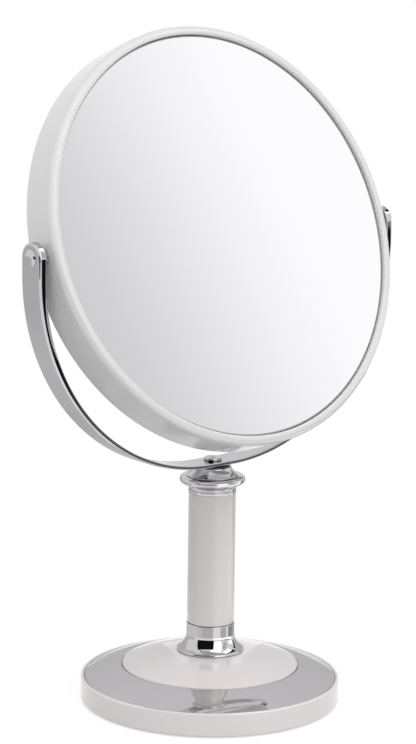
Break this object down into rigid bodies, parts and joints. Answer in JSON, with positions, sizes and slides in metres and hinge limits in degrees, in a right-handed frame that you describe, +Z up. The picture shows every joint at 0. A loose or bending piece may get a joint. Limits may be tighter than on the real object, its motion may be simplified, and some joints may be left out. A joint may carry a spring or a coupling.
{
  "type": "pedestal shaving mirror",
  "caption": "Round two-sided shaving mirror in a tilting white frame, held by a chrome yoke on a telescopic white column with a weighted round base.",
  "frame": {"origin": "centre of the round foot ring, on the surface the mirror stands on, straight below the column's axis", "axes": "+Z up along the column, X along the tilt axis, the flat front glass faces -Y and leans back by 20 degrees at rest"},
  "size_m": [0.2272, 0.1302, 0.3366],
  "materials": {
    "white_gloss": "white gloss moulding",
    "white_inlay": "white gloss dome with a faint pink cast",
    "white_sleeve": "white gloss tube",
    "chrome": "bright chrome plate",
    "mirror_glass": "silvered glass",
    "steel": "plain turned steel",
    "cast_iron": "raw casting",
    "foot_rubber": "matt black foam rubber",
    "foam": "matt closed-cell foam",
    "cover_plastic": "fine-grained white plastic",
    "nylon": "natural nylon",
    "board": "brown hardboard",
    "brass": "turned brass"
  },
  "bodies": {
    "base": {"foot_ring": "foot_rubber", "bottom_cover": "cover_plastic", "cover_screws": "steel", "base_weight": "cast_iron", "base_shell": "white_gloss", "base_chrome_ring": "chrome", "base_inlay": "white_inlay", "stem_bolt": "steel", "stem_bolt_washer": "steel", "lower_collar": "chrome", "core_tube": "steel", "core_plug": "steel", "stem_sleeve": "white_sleeve", "guide_bush": "nylon", "guide_cup": "chrome"},
    "post": {"inner_tube": "chrome", "slide_ring": "nylon", "tube_plug": "steel", "head_cone": "chrome", "swivel_washer": "nylon", "yoke_washer": "chrome", "yoke_screw": "chrome"},
    "yoke": {"yoke": "chrome", "pivot_pin_left": "chrome", "pivot_pin_right": "chrome", "friction_washer_left": "nylon", "friction_washer_right": "nylon", "pivot_spacer_left": "chrome", "pivot_spacer_right": "chrome"},
    "head": {"head_frame": "white_gloss", "rear_bezel": "white_gloss", "front_glass": "mirror_glass", "front_tape": "foam", "backing_board": "board", "rear_glass": "mirror_glass", "rear_gasket": "foam", "pivot_bush_left": "brass", "pivot_bush_right": "brass"}
  },
  "joints": [
    {"name": "stem_extend", "type": "slide", "parent": "base", "child": "post", "axis": [0, 0, 1], "range_m": [0, 0.05]},
    {"name": "head_swivel", "type": "hinge", "parent": "post", "child": "yoke", "pos_m": [0, 0, 0.1215], "axis": [0, 0, 1], "continuous": true},
    {"name": "mirror_tilt", "type": "hinge", "parent": "yoke", "child": "head", "pos_m": [0, 0, 0.2352], "axis": [1, 0, 0], "continuous": true}
  ]
}
